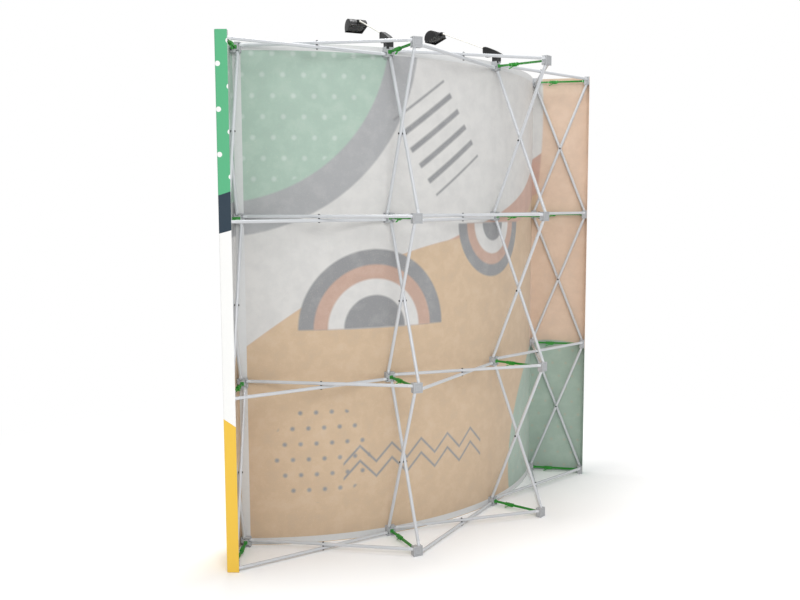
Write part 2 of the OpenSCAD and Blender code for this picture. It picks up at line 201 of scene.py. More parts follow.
def facing(x, y, z):
    aim = Vector((x, y, z))
    return lambda face: face.normal.dot(aim) > 0.99


def finishModifier(piece, kind, **settings):
    modifier = piece.modifiers.new(kind.lower(), kind)
    for name, value in settings.items():
        setattr(modifier, name, value)
    alone(piece)
    bpy.ops.object.modifier_apply(modifier=modifier.name)
    return piece


def combine(piece, operation, *others):
    for other in others:
        finishModifier(piece, "BOOLEAN", operation=operation, object=other, solver="EXACT")
        bpy.data.objects.remove(other)
    return piece


def soften(piece, width, rounds=2, angle=35):
    return finishModifier(piece, "BEVEL", width=width, segments=rounds, limit_method="ANGLE",
                          angle_limit=radians(angle), miter_outer="MITER_ARC")


def gather(pieces, name):
    clearSelection()
    for piece in pieces:
        piece.select_set(True)
    bpy.context.view_layer.objects.active = pieces[0]
    if len(pieces) > 1:
        bpy.ops.object.join()
    whole = bpy.context.view_layer.objects.active
    whole.name = name
    whole.data.name = name
    return whole


def smooth(piece, angle=35):
    alone(piece)
    bpy.ops.object.shade_smooth_by_angle(angle=radians(angle))
    return piece


grainShift = Vector((0.731, 0.413, 0.297))  # from one copy to the next, so that no two match


def stamp(master, name, places):
    # copies of one master, each at its own place, as one piece; "own" keeps a point's
    # place on the master, so that grain and streaks follow each copy
    copies = []
    for number, place in enumerate(places):
        copy = master.copy()
        copy.data = master.data.copy()
        bpy.context.collection.objects.link(copy)
        own = copy.data.attributes.new("own", "FLOAT_VECTOR", "POINT")
        for point, vertex in zip(own.data, copy.data.vertices):
            point.vector = vertex.co + grainShift * number
        copy.data.transform(place)
        copies.append(copy)
    return gather(copies, name)


def settle(piece, node, stands=True):
    # the piece rides with its node's body, and stands for the node unless another one does
    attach(piece, bodyOf[node])
    if stands:
        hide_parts(node)
    return piece


# Materials: one class for a socket, and one for a material's nodes

def ink(red, green, blue):
    # a colour as a screen shows it, from 0 to 255, made linear
    shares = [part / 255 for part in (red, green, blue)]
    line = [part / 12.92 if part < 0.04 else ((part + 0.055) / 1.055) ** 2.4 for part in shares]
    return (*line, 1.0)


def operator(name, swapped=False):
    def made(first, *others):
        values = (first, *others)
        return first.maths(name, *(values[::-1] if swapped else values))
    return made


class Wire:
    def __init__(self, finish, made, out=0):
        self.finish = finish
        self.made = made
        self.socket = made.outputs[out]

    def __getitem__(self, out):
        return Wire(self.finish, self.made, out)

    def maths(self, operation, *values, clamp=False):
        settings = {"operation": operation, "use_clamp": clamp}
        return self.finish.node("Math", settings, dict(enumerate(values)))

    __add__ = __radd__ = operator("ADD")
    __sub__, __rsub__ = operator("SUBTRACT"), operator("SUBTRACT", swapped=True)
    __mul__ = __rmul__ = operator("MULTIPLY")
    __truediv__ = operator("DIVIDE")
    __pow__ = operator("POWER")
    __abs__ = operator("ABSOLUTE")
    sine = operator("SINE")
    part = operator("FRACT")  # what is left after the whole number
    floor = operator("FLOOR")
    most = operator("MAXIMUM")
    least = operator("MINIMUM")

    def __neg__(self):
        return self * -1.0

    def inside(self, edge):
        # 1 where a distance is below zero, 0 above it, over an edge of this width
        return self.maths("MULTIPLY_ADD", self, -1 / edge, 0.5, clamp=True)


class Finish:
    def __init__(self, name, world=False):
        self.owner = (bpy.data.worlds if world else bpy.data.materials).new(name)
        self.output = "ShaderNodeOutputWorld" if world else "ShaderNodeOutputMaterial"
        self.owner.use_nodes = True
        self.tree = self.owner.node_tree
        self.tree.nodes.clear()

    def node(self, kind, settings=None, inputs=None, out=0):
        made = self.tree.nodes.new("ShaderNode" + kind)
        for name, value in (settings or {}).items():
            setattr(made, name, value)
        for name, value in (inputs or {}).items():
            if isinstance(value, Wire):
                self.tree.links.new(value.socket, made.inputs[name])
            else:
                made.inputs[name].default_value = value
        return Wire(self, made, out)

    def paint(self, below, above, mask):
        return self.node("Mix", {"data_type": "RGBA"}, {0: mask, 6: below, 7: above}, out=2)

    def noise(self, where, scale, detail=2.0, rough=0.5):
        return self.node("TexNoise", {}, {
            "Vector": where, "Scale": scale, "Detail": detail, "Roughness": rough})

    def stretched(self, where, x, y, z):
        return self.node("Mapping", {}, {"Vector": where, "Scale": (x, y, z)})

    def own(self):
        return self.node("Attribute", {"attribute_name": "own"}, out="Vector")

    def seen(self):
        # 1 for what the camera sees, straight or through the lenses
        rays = self.node("LightPath")
        return rays["Is Camera Ray"].most(rays["Is Transmission Ray"])

    def bump(self, height, distance, strength=1.0):
        return self.node("Bump", {}, {
            "Height": height, "Distance": distance, "Strength": strength})

    def surface(self, colour, rough, normal=None, **constants):
        inputs = {"Base Color": colour, "Roughness": rough}
        if normal:
            inputs["Normal"] = normal
        inputs.update({name.replace("_", " "): value for name, value in constants.items()})
        return self.close(self.node("BsdfPrincipled", {}, inputs))

    def close(self, shader):
        output = self.tree.nodes.new(self.output)
        self.tree.links.new(shader.socket, output.inputs["Surface"])
        return self.owner


# Moulded plastic: fine grain, slow cloudiness, and edges rubbed lighter
plastic = {
    "grain": 2200,
    "grainDepth": 0.00006,
    "cloud": 38,
    "cloudTint": 0.35,
    "cloudGloss": 0.16,
    "wear": 210,
    "wearFrom": 0.505,  # pointiness of an edge
    "wearGain": 16,
    "wearMost": 0.6,
}


def mouldedPlastic(name, colour, light, rough):
    finish = Finish(name)
    own = finish.own()
    cloud = finish.noise(own, plastic["cloud"], 3)
    fine = finish.noise(own, plastic["grain"], 1)
    point = finish.node("NewGeometry", {}, {}, out="Pointiness")
    edge = (point - plastic["wearFrom"]) * plastic["wearGain"]
    edge = edge.most(0.0).least(plastic["wearMost"])
    body = finish.paint(ink(*colour), ink(*light), cloud * plastic["cloudTint"])
    painted = finish.paint(body, ink(*light), edge * finish.noise(own, plastic["wear"], 3))
    gloss = rough + (cloud - 0.5) * plastic["cloudGloss"]
    return finish.surface(painted, gloss, finish.bump(fine, plastic["grainDepth"]))


def tubeMaterial():
    # satin white coat over drawn tube: streaks along it, and faint handling marks
    finish = Finish("tubeCoat")
    own = finish.own()
    streak = finish.noise(finish.stretched(own, 4, 900, 900), 1.0, 3)
    mark = (finish.noise(finish.stretched(own, 9, 60, 60), 1.0, 4, 0.6) - 0.60).most(0.0) * 3.0
    base = finish.paint(ink(194, 197, 201), ink(214, 216, 219), streak)
    coat = finish.paint(base, ink(180, 184, 189), mark)
    return finish.surface(coat, 0.26 + streak * 0.10 + mark * 0.3,
                          finish.bump(streak, 0.00003), Metallic=0.12)


def pinMaterial():
    # turned steel: fine rings along the pin
    finish = Finish("pinSteel")
    where = finish.node("TexCoord", {}, {}, out="Object")
    rings = finish.noise(finish.stretched(where, 500, 500, 2600), 1.0, 2)
    tone = finish.paint(ink(120, 121, 124), ink(176, 177, 180), rings)
    return finish.surface(tone, 0.28 + rings * 0.2, finish.bump(rings, 0.00003), Metallic=1.0)


# Hubs
hub = {
    "depth": 0.028,
    "plate": 0.004,
    "lip": 0.0008,  # step from the plate to the body behind it
    "rim": 0.004,
    "pad": 0.023,  # raised square in the middle of the plate
    "padRecess": (0.0032, 0.0002, 0.0004),  # rim, slope and depth
    "backRecess": (0.0016, 0.0002, 0.0006),
    "channel": 0.0012,
    "draft": 0.0003,
    "slot": 0.0135,  # height of a tube's slot
    "slotBehind": 0.00625,  # how far a slot reaches past its pin's line
    "slotBevel": 0.0008,
    "pinBore": 0.00202,
    "pinGrip": 0.008,
    "bevel": 0.0005,
}


def hubSlot(side):
    # one of the four slots with its pin's bore, turned about the hub's depth
    low = pairOffset - hub["slot"] / 2
    floor = wall["pin"] - hub["slotBehind"]
    slot = box((-wall["hub"], -hub["slotBehind"], low), (-floor, hub["depth"], low + hub["slot"]))
    soften(slot, hub["slotBevel"])
    boreMiddle = low - hub["pinGrip"] + wall["hub"] / 2
    bore = drum(hub["pinBore"], wall["hub"], (-wall["pin"], 0, boreMiddle))
    for cutter in (slot, bore):
        cutter.data.transform(turned(side * math.pi / 2, "Y"))
    return slot, bore


def modelHub():
    half, front = wall["hub"] / 2, -hub["depth"] / 2
    within = half - hub["lip"]
    border = (wall["hub"] - 2 * hub["rim"] - hub["pad"]) / 2 - 2 * hub["draft"]
    piece = box((-half, front, -half), (half, front + hub["plate"], half))
    edit(piece, facing(0, -1, 0), inset(hub["rim"]), inset(hub["draft"], -hub["channel"]),
         inset(border), inset(hub["draft"], hub["channel"]), *recess(*hub["padRecess"]))
    body = box((-within, front + hub["plate"] / 2, -within), (within, -front, within))
    edit(body, facing(0, 1, 0), *recess(*hub["backRecess"]))
    combine(piece, "UNION", body)
    for side in range(4):
        combine(piece, "DIFFERENCE", *hubSlot(side))
    return smooth(soften(piece, hub["bevel"]))


# Tubes
tube = {
    "wall": 0.0012,
    "roll": 0.0004,  # rolled edge of a tube's end, and how far it stands out
    "rollOut": 0.0003,
    "step": 0.0002,
    "tongue": 0.020,  # pin's centre to the end of the tube
    "tongueWidth": 0.012,
    "tongueHeight": 0.013,
    "tongueRadius": 0.007,
    "seat": 0.0012,  # how deep the insert's shoulder sits in the tube
    "collar": 0.0016,
    "collarPlay": 0.0001,
    "bore": 0.00205,
    "mouth": 0.0023,  # half the width of an open mouth
    "bevel": 0.0004,
    "sides": 48,
}


def modelTube():
    # the bare tube along +X, with rolled ends and a recessed insert
    start, end = tube["tongue"], tubeLength - tube["tongue"]
    piece = drum(wall["tube"] / 2, end - start, ((start + end) / 2, 0, 0), "X", tube["sides"])
    edit(piece, lambda face: abs(face.normal.x) > 0.9, inset(tube["roll"], tube["rollOut"]),
         inset(tube["wall"] - tube["roll"] - tube["step"]), inset(tube["step"], -tube["seat"]))
    return smooth(piece)


def modelTongue(mouth=None):
    # the insert's rounded tongue round a pin at the origin, towards a tube along +X; an open
    # mouth lets it leave the pin at this angle
    reach, far = tube["tongue"] + tube["seat"] / 2, tube["tongue"]
    wide, high = tube["tongueWidth"] / 2, tube["tongueHeight"] / 2
    inner = wall["tube"] / 2 - tube["wall"] - tube["collarPlay"]
    middle = (reach / 2 - wide, 0, 0)
    piece = box((0, -wide, -high), (reach, wide, high))
    combine(piece, "UNION", drum(wide, 2 * high))
    combine(piece, "INTERSECT",
            drum(tube["tongueRadius"], reach + 2 * wide, middle, "X", tube["sides"]))
    combine(piece, "UNION", drum(inner, tube["collar"], (reach, 0, 0), "X", tube["sides"]))
    combine(piece, "DIFFERENCE", drum(tube["bore"], 2 * far))
    if mouth is not None:
        gap = box((0, -tube["mouth"], -far), (far, tube["mouth"], far))
        gap.data.transform(turned(mouth, "Z"))
        combine(piece, "DIFFERENCE", gap)
    return smooth(soften(piece, tube["bevel"]))


rivet = {
    "shank": 0.002,
    "cap": 0.0045,
    "capSide": 0.00165,
    "play": 0.00005,
    # in and up for each step of the dome, and last the dimple
    "dome": ((0.0006, 0.0006), (0.0009, 0.0005), (0.0010, 0.00025), (0.0006, -0.0002)),
}


def modelRivet():
    # domed caps over and under a crossing pair, with the spacer between its tubes
    base = pairOffset + wall["tube"] / 2 + rivet["play"]
    side = rivet["capSide"]
    parts = [
        drum(rivet["shank"], 2 * base, sides=20),
        drum(rivet["cap"], wall["crossingGap"] - 2 * rivet["play"], sides=28),
    ]
    for way in (-1, 1):
        cap = drum(rivet["cap"], side, (0, 0, way * (base + side / 2)), sides=28)
        parts.append(edit(cap, facing(0, 0, way), *(inset(*step) for step in rivet["dome"])))
    return smooth(gather(parts, "rivetMaster"), 40)


def outwardPlace(bay, row):
    return atFront(bay, row) @ moved(-wall["pin"], 0, pairOffset) @ turned(math.pi - hubAngle, "Z")


def inwardPlace(bay, row):
    return atFront(bay + 1, row) @ moved(wall["pin"], 0, -pairOffset) @ turned(hubAngle, "Z")


def inColumnPlane(angle):
    return turned(math.pi / 2, "Z") @ turned(-angle, "Y") @ turned(math.pi / 2, "X")


def bracePlaces(column):
    places = []
    for row in range(1, wall["rows"]):
        rising = atFront(column, row) @ moved(pairOffset, 0, wall["pin"])
        falling = atFront(column, row + 1) @ moved(-pairOffset, 0, -wall["pin"])
        places.append(rising @ inColumnPlane(braceAngle))
        places.append(falling @ inColumnPlane(-braceAngle))
    return places


farEnd = moved(tubeLength, 0, 0) @ turned(math.pi, "Z")
rowsUp = range(1, wall["rows"] + 1)


def tubeRun(node, places, near=("tongue",), far=("tongue",)):
    # a node's tubes, and the tongues at their near and far ends, which take turns
    settle(smooth(stamp(masters["tube"], node + "_coat", places)), node)
    ends = []
    for number, place in enumerate(places):
        ends.append((near[number % len(near)], place))
        ends.append((far[number % len(far)], place @ farEnd))
    kinds = sorted({kind for kind, place in ends})
    runs = [stamp(masters[kind], kind + node, [p for k, p in ends if k == kind]) for kind in kinds]
    settle(gather(runs, node + "_ends"), node, stands=False)


# Lock arms, from the hub's centre along +Y
lock = {
    "bar": 0.009,
    "groove": (0.0018, 0.0004, 0.0011),  # rim, slope and depth
    "barFrom": 0.095,
    "barTo": 0.266,
    "foot": 0.016,
    "footFlat": 0.003,
    "footTaper": ((0.35, 0.002), (0.65, 0.006)),  # share of the step in, and length
    "stemFrom": 0.009,  # the grooved length starts inside the foot's taper
    "sleeve": 0.015,
    "sleeveFrom": 0.077,
    "sleeveTo": 0.123,
    "sleeveWaist": 0.0132,
    "sleeveMouth": (0.0022, 0.002),
    "neck": 0.003,  # plain length before and behind the sleeve's start
    "rings": (0.04, 0.36, 0.68, 0.96),  # shares of the sleeve's length
    "ring": 0.0018,  # half a ring's length
    "socket": 0.0096,
    "play": 0.0003,
    "bevel": 0.0004,
}
tab = {
    "width": 0.007,
    "thick": 0.003,
    "top": -0.0078,
    "back": 0.022,
    "finger": 0.024,
    "slant": 24,
    "tip": (0.0006, 0.0006),
    "ridges": 6,
    "ridge": 0.0011,
    "ridgePitch": 0.0024,
    "ridgeHigh": 0.0006,
    "ridgeFrom": 0.003,  # from the finger's tip
    "catchFrom": 0.109,
    "catchTo": 0.117,
    "catchTop": -0.0023,
}


def squareBar(start, end, width):
    return box((-width / 2, start, -width / 2), (width / 2, end, width / 2))


def grooved(start, end):
    # a bar with a shallow groove in each of its four sides
    return edit(squareBar(start, end, lock["bar"]), lambda face: abs(face.normal.y) < 0.5,
                *recess(*lock["groove"], each=True))


def taperedFoot(face, way):
    # from its face at a hub, towards +Y or -Y
    foot = squareBar(*sorted((face, face + way * lock["footFlat"])), lock["foot"])
    neck = (lock["foot"] - lock["bar"]) / 2
    return edit(foot, facing(0, way, 0),
                *(inset(neck * share, length) for share, length in lock["footTaper"]))


def catchNotch():
    side, play = tab["width"] / 2 + lock["play"], lock["play"]
    return box((-side, tab["catchFrom"] - play, -2 * lock["sleeve"]),
               (side, tab["catchTo"] + play, tab["catchTop"] + play))


def modelSocket():
    # foot, stem and the ringed sleeve with its square bore
    start, end, neck = lock["sleeveFrom"], lock["sleeveTo"], lock["neck"]
    piece = taperedFoot(hub["depth"] / 2, 1)
    combine(piece, "UNION", grooved(hub["depth"] / 2 + lock["stemFrom"], start - neck))
    plain = squareBar(start - neck, start, lock["bar"])
    edit(plain, facing(0, 1, 0), extrude(0, neck, 0))
    shell = squareBar(start, end, lock["sleeveWaist"])
    edit(shell, facing(0, -1, 0), inset(*lock["sleeveMouth"]))
    middles = [start + share * (end - start) for share in lock["rings"]]
    rings = [squareBar(y - lock["ring"], y + lock["ring"], lock["sleeve"]) for y in middles]
    combine(piece, "UNION", plain, shell, *rings)
    bore = squareBar(lock["barFrom"] - lock["play"], end + lock["bar"], lock["socket"])
    combine(piece, "DIFFERENCE", bore, catchNotch())
    return smooth(soften(piece, lock["bevel"]))


def modelBar():
    # plain inside the sleeve, grooved up to its foot at the back hub
    end = lock["sleeveTo"]
    piece = squareBar(lock["barFrom"], end + 0.002, lock["bar"])
    combine(piece, "UNION", grooved(end + 0.001, lock["barTo"] - lock["stemFrom"] - 0.001),
            taperedFoot(lock["barTo"], -1))
    combine(piece, "DIFFERENCE", catchNotch())
    return smooth(soften(piece, lock["bevel"]))


def modelTab():
    # the catch, the flat back and the slanted finger with its grip ridges
    bend = tab["catchTo"] - tab["back"]
    side, top, thick = tab["width"] / 2, tab["top"], tab["thick"]
    piece = box((-side, bend, top - thick), (side, tab["catchTo"], top))
    finger = box((-side, -tab["finger"], -thick), (side, 0.001, 0))
    edit(finger, facing(0, -1, 0), inset(*tab["tip"]))
    ridges = []
    for number in range(tab["ridges"]):
        start = tab["ridgeFrom"] - tab["finger"] + number * tab["ridgePitch"]
        ridges.append(box((-side, start, -thick - tab["ridgeHigh"]),
                          (side, start + tab["ridge"], -0.001)))
    combine(finger, "UNION", *ridges)
    finger.data.transform(moved(0, bend, top) @ turned(radians(tab["slant"]), "X"))
    catch = box((-side, tab["catchFrom"], top - 0.001), (side, tab["catchTo"], tab["catchTop"]))
    combine(piece, "UNION", finger, catch)
    return smooth(soften(piece, lock["bevel"]))


# Lamps: x across, y forward of the hub's centre, z above the hub's top
lamp = {"columns": (2, 3), "play": 0.0003}


def lampPlace(number):
    top = atColumn(lamp["columns"][number - 1], frontRadius, frameTop)
    return top @ turned(math.pi, "Z")


clamp = {
    "width": 0.036,
    "front": 0.014,
    "back": -0.016,
    "top": 0.0257,
    "recess": (0.004, 0.0006, 0.0008),  # rim, slope and depth
    "bevel": 0.0008,
    "seat": 0.0003,
    "plugWidth": 0.0129,
    "plugDepth": 0.009,
    "plugFront": 0.00595,
}


def modelClamp():
    # the block, recessed on its four sides, and the plug under it
    half, wide, low = clamp["width"] / 2, clamp["plugWidth"] / 2, clamp["seat"]
    block = box((-half, clamp["back"], low), (half, clamp["front"], clamp["top"]))
    edit(block, lambda face: abs(face.normal.z) < 0.5, *recess(*clamp["recess"], each=True))
    plug = box((-pairOffset - wide, -hub["depth"] / 2, -clamp["plugDepth"]),
               (-pairOffset + wide, clamp["plugFront"], low + 0.001))
    return smooth(soften(combine(block, "UNION", plug), clamp["bevel"]))


bracket = {
    "width": 0.022,
    "floor": 0.026,
    "nose": 0.074,
    "tail": 0.034,
    "noseHeight": 0.050,
    "tailHeight": 0.006,
    "crown": 0.015,  # flat length at the top of the nose
    "noseBevel": 0.003,
    "recess": (0.0016, 0.0004, 0.0008),
    "bevel": 0.0012,
    "boss": 0.0062,  # cap over the pivot, on each side
    "bossHigh": 0.0016,
    "bossBack": 0.0002,
    "bossRecess": (0.0014, 0.0002, 0.0006),
}
arm = {
    "eye": 0.012,
    "eyeWidth": 0.008,
    "eyeBevel": 0.0007,
    "stub": 0.005,
    "stubPlay": 0.0001,
    "rod": 0.006,
    "length": 0.279,
    "rise": 21.7,
    "ferrule": 0.0042,
    "ferruleLength": 0.010,
    "ferruleTip": (0.0010, 0.0015),
    "knob": 0.0052,
    "knobHigh": 0.0032,
    "knobAt": 0.0112,
    "knurl": (0.00035, 0.0004),
    "knobTop": ((0.0016, 0.0006), (0.0006, -0.0004)),
}
pivotForward = bracket["nose"] - arm["eye"] / 2 - lamp["play"]
pivotUp = bracket["floor"] + bracket["noseHeight"] - arm["eye"] / 2 - lamp["play"]
knuckleForward = pivotForward + arm["length"] * math.cos(radians(arm["rise"]))
knuckleUp = pivotUp + arm["length"] * math.sin(radians(arm["rise"]))


def bracketOutline():
    nose, tail, floor = bracket["nose"], -bracket["tail"], bracket["floor"]
    crown, heel = floor + bracket["noseHeight"], floor + bracket["tailHeight"]
    bevel, flat = bracket["noseBevel"], bracket["crown"]
    return [
        (tail, floor),
        (nose - flat, floor),
        (nose, (floor + crown) / 2),
        (nose, crown - bevel),
        (nose - bevel, crown),
        (nose - bevel - flat, crown),
        ((nose - flat) / 2, heel + (crown - heel) * 0.75),
        (0, heel + (crown - heel) * 0.45),
        (tail, heel),
    ]


def pivotBore():
    return drum(arm["stub"] / 2 + arm["stubPlay"], 0.05, (0, pivotForward, pivotUp), "X")


def modelBracket():
    # the wedge, open at its nose for the arm's eye, and a bored cap on each side of the pivot
    piece = outline(bracketOutline(), bracket["width"])
    edit(piece, lambda face: abs(face.normal.x) > 0.9, *recess(*bracket["recess"], each=True))
    room, side = arm["eye"] / 2 + lamp["play"], arm["eyeWidth"] / 2 + lamp["play"]
    far, y, z = pivotForward + 0.1, pivotForward, pivotUp
    combine(piece, "DIFFERENCE", box((-side, y - room, z - room), (side, far, z + 0.1)),
            box((-side, y, z - 2 * room), (side, far, z)), pivotBore())
    parts = [soften(piece, bracket["bevel"], 3)]
    for way in (-1, 1):
        at = way * (bracket["width"] - bracket["bossHigh"]) / 2
        boss = drum(bracket["boss"], bracket["bossHigh"], (at, y - bracket["bossBack"], z), "X")
        edit(boss, facing(way, 0, 0), *recess(*bracket["bossRecess"]))
        parts.append(combine(boss, "DIFFERENCE", pivotBore()))
    return smooth(gather(parts, "bracketMaster"))


def modelArmRod():
    # the rod with a tapered ferrule at each end
    start = arm["eye"] / 2 - 0.001
    end, length = arm["length"] - start, arm["ferruleLength"]
    parts = [drum(arm["rod"] / 2, end - start, (0, 0, (start + end) / 2))]
    for way, at in ((1, start), (-1, end)):
        ferrule = drum(arm["ferrule"], length, (0, 0, at + way * length / 2))
        parts.append(edit(ferrule, facing(0, 0, way), inset(*arm["ferruleTip"])))
    rod = gather(parts, "armRodMaster")
    rod.data.transform(moved(0, pivotForward, pivotUp) @ turned(radians(arm["rise"] - 90), "X"))
    return smooth(rod)


def modelArmEyes():
    # round eyes on cross pins, with a knurled knob on each end of the upper one
    parts = []
    for y, z in ((pivotForward, pivotUp), (knuckleForward, knuckleUp)):
        eye = drum(arm["eye"] / 2, arm["eyeWidth"], (0, y, z), "X", 40)
        parts.append(soften(eye, arm["eyeBevel"]))
        parts.append(drum(arm["stub"] / 2, bracket["width"], (0, y, z), "X", 24))
    for way in (-1, 1):
        middle = (way * arm["knobAt"], knuckleForward, knuckleUp)
        knob = drum(arm["knob"], arm["knobHigh"], middle, "X", 24)
        edit(knob, lambda face: abs(face.normal.x) < 0.5, inset(*arm["knurl"], each=True))
        parts.append(edit(knob, facing(way, 0, 0), *(inset(*step) for step in arm["knobTop"])))
    return smooth(gather(parts, "armEyesMaster"))


housing = {
    "width": 0.091,
    "radius": 0.038,
    "rim": 0.008,
    "rimSteps": (0.45, 0.35, 0.2),
    "flare": 1.018,
    "wall": 0.003,
    "shell": 0.0022,
    "shellBevel": 0.003,
    "fins": 13,
    "fin": 0.0016,
    "finPitch": 0.0072,
    "finHigh": 0.0006,
    "finFoot": 0.004,
    "finClear": 0.003,  # no fin this near the ears
    "bezel": 0.0035,
    "bezelBevel": 0.0007,
    "earThick": 0.004,
    "earWidth": 0.010,
    "earGap": 0.0065,
    "earTurn": 152,
    "earBevel": 0.0006,
    "tilt": 20,
}
earReach = arm["eye"] / 2 + housing["earGap"] + housing["radius"]
barrelForward = knuckleForward - earReach * math.cos(radians(housing["earTurn"]))
barrelUp = knuckleUp - earReach * math.sin(radians(housing["earTurn"]))
atBarrel = moved(0, barrelForward, barrelUp) @ turned(radians(-housing["tilt"]), "X")


def halfBarrel(radius, width, drops, flare=1.0):
    # the upper half of a drum along X, its open edge carried down in steps
    piece = drum(radius, width, sides=72, axis="X")
    alone(piece)
    bpy.context.tool_settings.mesh_select_mode = (False, True, False)
    bpy.ops.object.mode_set(mode="EDIT")
    bpy.ops.mesh.select_all(action="SELECT")
    bpy.ops.mesh.bisect(plane_co=(0, 0, 0), plane_no=(0, 0, 1), clear_inner=True, use_fill=False)
    for drop in drops:
        bpy.ops.mesh.extrude_edges_move(TRANSFORM_OT_translate={"value": (0, 0, -drop)})
    bpy.ops.transform.resize(value=(flare, flare, 1), center_override=(0, 0, 0))
    bpy.ops.object.mode_set(mode="OBJECT")
    return edit(piece, lambda face: True, recalculate)


def modelShell():
    # the head's round back with its cooling fins, open below
    radius, high = housing["radius"], housing["finHigh"]
    drops = [housing["rim"] * share for share in housing["rimSteps"]]
    shell = halfBarrel(radius - high, housing["width"] - 2 * high, drops, housing["flare"])
    soften(shell, housing["shellBevel"], 3, 60)
    finishModifier(shell, "SOLIDIFY", thickness=housing["shell"], offset=-1, use_even_offset=True)
    parts = [shell]
    for number in range(housing["fins"]):
        at = (number - housing["fins"] // 2) * housing["finPitch"]
        if abs(at) < arm["eyeWidth"] / 2 + housing["earThick"] + housing["finClear"]:
            continue
        fin = drum(radius, housing["fin"], (at, 0, 0), "X", 72)
        below = box((-0.1, -0.1, -0.1), (0.1, 0.1, housing["finFoot"]))
        inside = drum(radius - housing["shell"], 0.2, (0, 0, 0), "X", 72)
        parts.append(combine(fin, "DIFFERENCE", below, inside))
    return parts


def modelBezel():
    # the frame round the mouth
    wide, deep, low = housing["width"] / 2, housing["radius"], -housing["rim"]
    inwards = housing["wall"] + housing["finHigh"]
    bezel = box((-wide, -deep, low), (wide, deep, low + housing["bezel"]))
    hole = box((inwards - wide, inwards - deep, -0.1), (wide - inwards, deep - inwards, 0.1))
    return soften(combine(bezel, "DIFFERENCE", hole), housing["bezelBevel"])


def modelEar(way):
    middle = way * (arm["eyeWidth"] / 2 + lamp["play"] + housing["earThick"] / 2)
    thick, wide = housing["earThick"] / 2, housing["earWidth"] / 2
    ear = drum(arm["eye"] / 2, housing["earThick"], (middle, 0, 0), "X", 40)
    strap = box((middle - thick, 0, -wide),
                (middle + thick, arm["eye"] / 2 + housing["earGap"] + housing["wall"], wide))
    strap.data.transform(turned(radians(housing["earTurn"] + 180), "X"))
    combine(ear, "UNION", strap)
    ear.data.transform(moved(0, knuckleForward, knuckleUp))
    return soften(ear, housing["earBevel"])


def modelHead():
    head = gather([*modelShell(), modelBezel()], "headMaster")
    head.data.transform(atBarrel)
    return smooth(gather([head, modelEar(-1), modelEar(1)], "headMaster"))


trough = {
    "under": 0.005,  # its radius is less than the head's by this
    "drop": 0.0016,
    "sheet": 0.0006,
    "up": 0.0008,
    "play": 0.0012,
}


def modelTrough():
    # trough over the glass tube, dark as painted shade for the head's mouth
    wide = housing["width"] - 2 * (housing["wall"] + trough["play"])
    shell = halfBarrel(housing["radius"] - trough["under"], wide, (trough["drop"],))
    finishModifier(shell, "SOLIDIFY", thickness=trough["sheet"], offset=-1)
    shell.data.transform(atBarrel @ moved(0, 0, trough["up"]))
    return smooth(shell)


bulb = {
    "radius": 0.005,
    "length": 0.054,
    "bevel": 0.002,
    "up": 0.010,
    "end": 0.0064,
    "endLength": 0.011,
    "endAt": 0.032,
    "endBevel": 0.0008,
}


def modelBulb():
    # linear glass tube
    glass = soften(drum(bulb["radius"], bulb["length"], (0, 0, bulb["up"]), "X"), bulb["bevel"], 3)
    glass.data.transform(atBarrel)
    return smooth(glass)


def modelBulbEnds():
    # its two ceramic ends
    middles = [(way * bulb["endAt"], 0, bulb["up"]) for way in (-1, 1)]
    ends = [soften(drum(bulb["end"], bulb["endLength"], middle, "X", 24), bulb["endBevel"])
            for middle in middles]
    holder = gather(ends, "bulbEnds")
    holder.data.transform(atBarrel)
    return smooth(holder)


lens = {
    "thick": 0.003,
    "sink": 0.003,
    "bevel": 0.0005,
    "ribs": 17,
    "rib": 0.0014,
    "ribPitch": 0.0047,
    "ribShort": 0.004,
}


def modelLens():
    # plate glass with moulded ribs on its inner side
    inwards = housing["wall"] + lamp["play"]
    wide, deep = housing["width"] / 2 - inwards, housing["radius"] - inwards
    low = lens["sink"] - housing["rim"]
    top = low + lens["thick"]
    piece = soften(box((-wide, -deep, low), (wide, deep, top)), lens["bevel"])
    length, outermost = 2 * deep - lens["ribShort"], (lens["ribs"] - 1) / 2
    for number in range(lens["ribs"]):
        x = (number - outermost) * lens["ribPitch"]
        combine(piece, "UNION", drum(lens["rib"], length, (x, 0, top), "Y", 12))
    piece.data.transform(atBarrel)
    return smooth(piece)


# Fabric
cloth = {
    "gap": 0.0005,  # from the hub faces to the fabric
    "thick": 0.0011,
    "low": 0.001,
    "cap": 0.0265,  # outer side of the end, from the end column's line
    "corner": 0.005,
    "return": 0.052,  # strip over the back hubs
    "tape": 0.030,  # loop tape along the edges
    "tapeLow": 0.003,  # from the fabric's edges to the tape
    "tapeHigh": 0.001,
    "tapeThick": 0.00034,
    "tapeGap": 0.00008,
    "sideTape": 0.018,  # half of the upright tape behind the first column's hubs
    "ripple": 0.0011,
    "lines": 96,  # of the grid, up the cloth and across one bay
    "bayLines": 44,
    "folded": 0.1198,  # from one front hub to the next when the wall is folded
    "endKeep": 0.49,  # share of an end's depth that is left then
}
innerRadius = frontRadius - hub["depth"] / 2 - cloth["gap"]
clothHigh = frameTop - cloth["low"]
bayLength = radians(wall["turn"]) * innerRadius
frontHalf = 1.5 * bayLength  # from the middle to the end columns


def onArc(u, lift):
    # a point of the front, u along it from the middle, lifted off its inner side
    around = u / innerRadius
    radius = innerRadius - lift
    return (radius * math.sin(around), radius * math.cos(around) - arcCentre)


# The end's route in its column's own space: how it runs, how long, and in how many parts
quarter = cloth["corner"] * math.pi / 2
wrapPath = [
    ("line", cloth["cap"] - cloth["corner"], 2),
    ("bend", quarter, 8),
    ("line", wall["depth"] + hub["depth"] + 2 * cloth["gap"] - 2 * cloth["corner"], 14),
    ("bend", quarter, 8),
    ("line", cloth["return"] - cloth["corner"] - cloth["thick"], 4),
]


